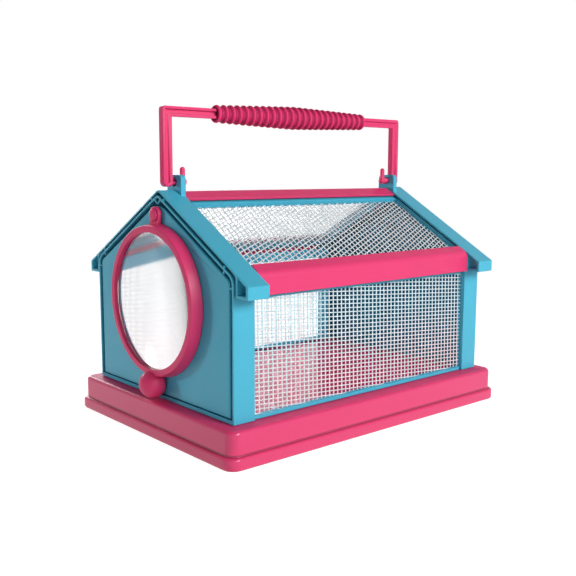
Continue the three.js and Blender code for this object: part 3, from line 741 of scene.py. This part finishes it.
def strand_family(angle, pitch, low, high):
    """Parallel lines over a rectangle: start, direction, entry, exit and number of each."""
    step = Vector((math.cos(math.radians(angle)), math.sin(math.radians(angle))))
    side = Vector((-step.y, step.x))
    middle = (low + high) / 2
    reach = (high - low).length / 2
    lines = []
    for number in range(math.floor(-reach / pitch), math.ceil(reach / pitch) + 1):
        start = middle + side * (number + 0.5) * pitch
        span = clipped(start, step, low, high)
        if span:
            lines.append((start, step, *span, number))
    return lines


def crossings(line, others):
    """Distances along a line at which the other family's lines cross it, each with its line's number."""
    start, step, enter, leave, _ = line
    found = []
    for other_start, other_step, _, _, number in others:
        away = (other_start - start).cross(other_step) / step.cross(other_step)
        if enter < away < leave:
            found.append((away, number))
    return sorted(found)


def woven_points(line, others, sign):
    """Points of a strand as distance along its line and lift, over and under the other family."""
    _, _, enter, leave, own_number = line
    points = [(enter, 0)]
    for away, number in crossings(line, others):
        lift = STRAND_WAVE if (own_number + number) % 2 else -STRAND_WAVE
        points.append((away, sign * lift))
    points.append((leave, 0))
    return points


def add_strand(points, wide, out, half_width, vertices, faces):
    """Add one flat-oval strand through points to the lists of a mesh."""
    start = len(vertices)
    for point in points:
        for side in range(STRAND_SIDES):
            angle = 2 * math.pi * (side + 0.5) / STRAND_SIDES
            sideways = wide * (half_width * math.cos(angle))
            outward = out * (STRAND_HALF_THICKNESS * math.sin(angle))
            vertices.append(point + sideways + outward)
    last = len(points) - 1
    for index in range(last):
        low = start + index * STRAND_SIDES
        high = low + STRAND_SIDES
        for side in range(STRAND_SIDES):
            after = (side + 1) % STRAND_SIDES
            faces.append((low + side, low + after, high + after, high + side))
    faces.append(tuple(start + side for side in reversed(range(STRAND_SIDES))))
    faces.append(tuple(start + last * STRAND_SIDES + side for side in range(STRAND_SIDES)))


def woven_net(node, families, finish):
    """Net of flat strands woven over and under, filling the opening of its frame."""
    along, up, out = net_axes(node)
    low, high, level = net_field(node, along, up, out)
    lines = [strand_family(angle, pitch, low, high) for angle, pitch in families]
    vertices = []
    faces = []
    for index, (_, pitch) in enumerate(families):
        sign = 1 if index else -1
        for line in lines[index]:
            start, step = line[:2]
            points = []
            for away, lift in woven_points(line, lines[1 - index], sign):
                flat = start + step * away
                points.append(along * flat.x + up * flat.y + out * (level + lift))
            wide = up * step.x - along * step.y
            add_strand(points, wide, out, pitch * STRAND_WIDTH_SHARE / 2, vertices, faces)
    mesh = bpy.data.meshes.new(node + "_weave")
    mesh.from_pydata(vertices, [], faces)
    work = bmesh.new()
    work.from_mesh(mesh)
    fill_mesh(mesh, work)
    for polygon in mesh.polygons:
        polygon.use_smooth = True
    piece = new_piece(node + "_weave", mesh, "cage", "white_net", node)
    finish_with(piece, finish)


# Door

lens_low, lens_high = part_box("door_lens")
ring_low, ring_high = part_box("door_ring")
pin_low, pin_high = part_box("door_pivot_pin")
door_centre = Vector((0, 0, (lens_low.z + lens_high.z) / 2))
pivot_centre = Vector((0, 0, (pin_low.z + pin_high.z) / 2))
ring_rear = ring_high.x
ring_front = ring_rear - RING_THICKNESS
ring_rear_radius = (ring_high.y - ring_low.y) / 2
ring_front_radius = ring_rear_radius - RING_DRAFT
ring_bore = ring_front_radius - RING_WIDTH
lens_radius = (lens_high.z - lens_low.z) / 2
lens_front_edge = ring_front + LENS_LIP + SEAT_GAP
lens_back_edge = lens_front_edge + LENS_EDGE


def ring_mesh():
    """Ring with rounded front edges and a groove for the lens."""
    groove_front = ring_front + LENS_LIP
    groove_rear = lens_back_edge + SEAT_GAP
    profile = rounded_outline([
        (ring_bore, ring_front, RING_EDGE / 2),
        (ring_front_radius, ring_front, RING_EDGE),
        (ring_rear_radius, ring_rear, 0),
        (ring_bore + RING_BACK_FLARE, ring_rear, 0),
        (ring_bore, groove_rear + LENS_LAND, 0),
        (ring_bore, groove_rear, 0),
        (ring_bore + LENS_SEAT, groove_rear, 0),
        (ring_bore + LENS_SEAT, groove_front, 0),
        (ring_bore, groove_front, 0),
    ])
    return turned_mesh("door_ring_moulding", profile, door_centre, DOOR_SEGMENTS, True)


def ear_mesh():
    """Ear that turns on the pin, with the neck that joins it to the ring."""
    outline = []
    for step in range(SMALL_SEGMENTS + 1):
        angle = math.pi * step / SMALL_SEGMENTS
        outline.append(Vector((EAR_RADIUS * math.cos(angle), pivot_centre.z + EAR_RADIUS * math.sin(angle))))
    neck_foot = door_centre.z + ring_rear_radius - RING_WIDTH / 2
    outline += [Vector((-NECK_WIDTH / 2, neck_foot)), Vector((NECK_WIDTH / 2, neck_foot))]
    return extruded_mesh("ear", outline, ring_rear - EAR_THICKNESS, ring_rear, EAR_EDGE)


def knob_mesh():
    """Ball knob with a flat back."""
    centre = Vector((0, 0, ring_low.z + KNOB_RADIUS))
    middle = ring_low.x + KNOB_RADIUS
    flat = math.acos((ring_rear - middle) / KNOB_RADIUS)
    steps = KNOB_SEGMENTS // 2
    profile = [(0.0, ring_low.x)]
    for step in range(1, steps + 1):
        angle = math.pi - (math.pi - flat) * step / steps
        profile.append((KNOB_RADIUS * math.sin(angle), middle + KNOB_RADIUS * math.cos(angle)))
    profile.append((0.0, ring_rear))
    return turned_mesh("knob", profile, centre, KNOB_SEGMENTS, False)


def pivot_bore_mesh():
    """Bore of the ear, for the pin."""
    end = ring_rear + BORE_OVERRUN
    profile = [(0.0, ring_front), (PIVOT_BORE, ring_front), (PIVOT_BORE, end), (0.0, end)]
    return turned_mesh("bore", profile, pivot_centre, SMALL_SEGMENTS, False)


def door_ring():
    """Ring joined to its ear, neck and ball knob, with the pin's bore cut out."""
    piece = new_piece("door_ring_moulding", ring_mesh(), "door", "pink_plastic", "door_ring")
    combine(piece, ear_mesh(), "UNION")
    combine(piece, knob_mesh(), "UNION")
    combine(piece, pivot_bore_mesh(), "DIFFERENCE")
    smooth_by_angle(piece.data)
    finish_with(piece, "pink_ring")


def door_lens():
    """Lens with the same curve on both faces."""
    def sag(radius):
        """Depth of the curve at a radius."""
        return LENS_CURVE - math.sqrt(LENS_CURVE ** 2 - radius ** 2)

    front = []
    back = []
    for ring in range(LENS_RINGS + 1):
        radius = lens_radius * ring / LENS_RINGS
        bulge = sag(lens_radius) - sag(radius)
        front.append((radius, lens_front_edge - bulge))
        back.insert(0, (radius, lens_back_edge + bulge))
    mesh = turned_mesh("door_lens_moulding", front + back, door_centre, DOOR_SEGMENTS, False)
    smooth_by_angle(mesh)
    piece = new_piece("door_lens_moulding", mesh, "door", "clear_lens", "door_lens")
    finish_with(piece, "clear_lens")


def pivot_pin():
    """Pin with a domed head and a snap collar."""
    head_radius = (pin_high.z - pin_low.z) / 2
    head_back = ring_rear - EAR_THICKNESS - SEAT_GAP
    shaft_radius = PIVOT_BORE - SEAT_GAP
    collar_front = pin_high.x - COLLAR_LENGTH
    profile = [(0.0, pin_low.x)]
    for step in range(ARC_STEPS + 1):
        angle = math.pi / 2 * step / ARC_STEPS
        profile.append((
            head_radius * (HEAD_FLAT_SHARE + (1 - HEAD_FLAT_SHARE) * math.sin(angle)),
            head_back - (head_back - pin_low.x) * math.cos(angle),
        ))
    profile += [
        (shaft_radius, head_back),
        (shaft_radius, collar_front),
        (COLLAR_RADIUS, collar_front),
        (shaft_radius, pin_high.x),
        (0.0, pin_high.x),
    ]
    mesh = turned_mesh("door_pivot_pin_moulding", profile, pivot_centre, SMALL_SEGMENTS, False)
    smooth_by_angle(mesh)
    piece = new_piece("door_pivot_pin_moulding", mesh, "cage", "pink_plastic", "door_pivot_pin")
    finish_with(piece, "pink_plastic")


# Handle grip

def grip_profile(low, high):
    """Section of the barrel: rounded ribs that swell towards the middle, and rounded ends."""
    middle = (low.x + high.x) / 2
    half = (high.x - low.x) / 2
    end_radius = (high.z - low.z) / 2 - GRIP_SWELL
    pitch = (2 * half - RIB_CREST) / (RIB_COUNT - 1)
    lead = RIB_CREST / 2

    def crest(place):
        """Radius of the ribs' crests at a place along the barrel."""
        return end_radius + GRIP_SWELL * (1 - abs((place - middle) / half) ** GRIP_TAPER)

    profile = [(0.0, low.x)]
    for step in range(ARC_STEPS + 1):
        angle = math.pi / 2 * step / ARC_STEPS
        profile.append((crest(low.x) - lead * (1 - math.sin(angle)), low.x + lead * (1 - math.cos(angle))))
    for step in range(1, (RIB_COUNT - 1) * RIB_STEPS):
        phase = step / RIB_STEPS
        dip = RIB_DEPTH * (1 - abs(math.cos(math.pi * phase)) ** RIB_SHARPNESS)
        place = low.x + lead + phase * pitch
        profile.append((crest(place) - dip, place))
    for step in range(ARC_STEPS + 1):
        angle = math.pi / 2 * step / ARC_STEPS
        profile.append((crest(high.x) - lead * (1 - math.cos(angle)), high.x - lead * (1 - math.sin(angle))))
    profile.append((0.0, high.x))
    return profile


def handle_grip():
    """Ribbed barrel with a bore for the handle's bar."""
    low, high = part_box("handle_grip")
    bail_low, bail_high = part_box("handle_bail")
    centre = Vector((0, 0, (low.z + high.z) / 2))
    mesh = turned_mesh("handle_grip_moulding", grip_profile(low, high), centre, GRIP_SEGMENTS, False)
    piece = new_piece("handle_grip_moulding", mesh, "handle", "pink_plastic", "handle_grip")
    overrun = RIB_CREST / 2
    half_depth = (bail_high.y - bail_low.y) / 2 + SEAT_GAP
    half_height = bail_high.z - centre.z + SEAT_GAP
    bore_low = Vector((low.x - overrun, -half_depth, centre.z - half_height))
    bore_high = Vector((high.x + overrun, half_depth, centre.z + half_height))
    combine(piece, block_mesh(bore_low, bore_high), "DIFFERENCE")
    smooth_by_angle(piece.data, GRIP_SMOOTH_ANGLE)
    finish_with(piece, "pink_ribs")


# Floor, light and camera

def seen_directly(nodes, links):
    """1 for rays from the camera, a mirror-like surface or a clear one, otherwise 0."""
    path = nodes.new("ShaderNodeLightPath")
    camera_ray = path.outputs["Is Camera Ray"]
    mirror_ray = path.outputs["Is Glossy Ray"]
    clear_ray = path.outputs["Is Transmission Ray"]
    either = worked_out(nodes, links, "MAXIMUM", camera_ray, mirror_ray)
    return worked_out(nodes, links, "MAXIMUM", either, clear_ray)


def make_world():
    """White surroundings that are dimmer as light than as seen, and dimmer overhead."""
    world = bpy.data.worlds.new("studio")
    world.use_nodes = True
    bpy.context.scene.world = world
    nodes = world.node_tree.nodes
    links = world.node_tree.links
    background = nodes["Background"]
    background.inputs["Color"].default_value = WHITE
    direction = nodes.new("ShaderNodeTexCoord").outputs["Generated"]
    upward = parts_of(nodes, links, direction)["Z"]
    strength = nodes.new("ShaderNodeMix")
    for socket, level in (("A", WORLD_FILL), ("B", WORLD_SEEN)):
        links.new(faded(nodes, links, upward, *WORLD_FADE, *level), strength.inputs[socket])
    links.new(seen_directly(nodes, links), strength.inputs["Factor"])
    links.new(strength.outputs["Result"], background.inputs["Strength"])


def floor_material():
    """Floor that takes the object's shadow near it and fades to plain white far off."""
    material = bpy.data.materials.new("pale_floor")
    material.use_nodes = True
    nodes = material.node_tree.nodes
    links = material.node_tree.links
    nodes.clear()
    output = nodes.new("ShaderNodeOutputMaterial")
    bounce = nodes.new("ShaderNodeBsdfDiffuse")
    bounce.inputs["Color"].default_value = toned(WHITE, FLOOR_BOUNCE)
    shaded = nodes.new("ShaderNodeBsdfDiffuse")
    glow = nodes.new("ShaderNodeEmission")
    away = nodes.new("ShaderNodeVectorMath")
    away.operation = "LENGTH"
    links.new(object_place(nodes), away.inputs[0])
    for socket, level in ((glow.inputs["Strength"], FLOOR_LIFT), (shaded.inputs["Color"], FLOOR_SHADE)):
        links.new(faded(nodes, links, away.outputs["Value"], *FLOOR_FADE, *level), socket)
    pale = nodes.new("ShaderNodeAddShader")
    links.new(shaded.outputs[0], pale.inputs[0])
    links.new(glow.outputs[0], pale.inputs[1])
    mix = nodes.new("ShaderNodeMixShader")
    links.new(seen_directly(nodes, links), mix.inputs["Fac"])
    links.new(bounce.outputs[0], mix.inputs[1])
    links.new(pale.outputs[0], mix.inputs[2])
    links.new(mix.outputs[0], output.inputs["Surface"])
    return material


def make_floor():
    """Level square under the object."""
    mesh = bpy.data.meshes.new("floor")
    half = FLOOR_SIZE / 2
    mesh.from_pydata(
        [(-half, -half, 0), (half, -half, 0), (half, half, 0), (-half, half, 0)],
        [],
        [(0, 1, 2, 3)],
    )
    floor = bpy.data.objects.new("floor", mesh)
    bpy.context.scene.collection.objects.link(floor)
    mesh.materials.append(floor_material())


def make_lamp(name, direction, size, power):
    """Round lamp that shines on the object's middle from a direction."""
    light = bpy.data.lights.new(name, "AREA")
    light.shape = "DISK"
    light.size = size
    light.energy = power
    lamp = bpy.data.objects.new(name, light)
    bpy.context.scene.collection.objects.link(lamp)
    toward = direction.normalized()
    lamp.location = (cad_low + cad_high) / 2 + toward * LAMP_DISTANCE
    lamp.rotation_euler = toward.to_track_quat("Z", "Y").to_euler()
    return lamp


def make_camera():
    """Camera in the place and direction that were fitted to the photograph."""
    camera = bpy.data.cameras.new("camera")
    camera.sensor_width = SENSOR_WIDTH
    camera.lens = SENSOR_WIDTH * FOCAL_PIXELS / IMAGE_PIXELS
    camera.clip_start, camera.clip_end = CAMERA_CLIP
    holder = bpy.data.objects.new("camera", camera)
    bpy.context.scene.collection.objects.link(holder)
    azimuth = math.radians(CAMERA_AZIMUTH)
    pitch = math.radians(CAMERA_PITCH)
    back = Vector((
        math.sin(azimuth) * math.cos(pitch),
        -math.cos(azimuth) * math.cos(pitch),
        math.sin(pitch),
    ))
    turn = (-back).to_track_quat("-Z", "Y").to_matrix().to_4x4()
    roll = Matrix.Rotation(math.radians(CAMERA_ROLL), 4, "Z")
    holder.matrix_world = Matrix.Translation(CAMERA_PLACE) @ turn @ roll
    bpy.context.scene.camera = holder


# Pieces of the object

make_pink_mouldings()
make_blue_mouldings()
handle_bail()
for side in ("right", "left"):
    woven_net(side + "_side_net", SIDE_STRANDS, side + "_net")
    woven_net(side + "_roof_net", ROOF_STRANDS, side + "_roof")
door_ring()
door_lens()
pivot_pin()
handle_grip()


# Surroundings

make_world()
make_floor()
make_lamp("key", KEY_DIRECTION, KEY_SIZE, KEY_POWER)
side_lamp = make_lamp("side", SIDE_DIRECTION, SIDE_SIZE, SIDE_POWER)
side_lamp.visible_glossy = False
make_lamp("back", BACK_DIRECTION, BACK_SIZE, BACK_POWER)
make_lamp("front", FRONT_DIRECTION, FRONT_SIZE, FRONT_POWER)
make_camera()
bpy.context.scene.view_settings.view_transform = "Standard"
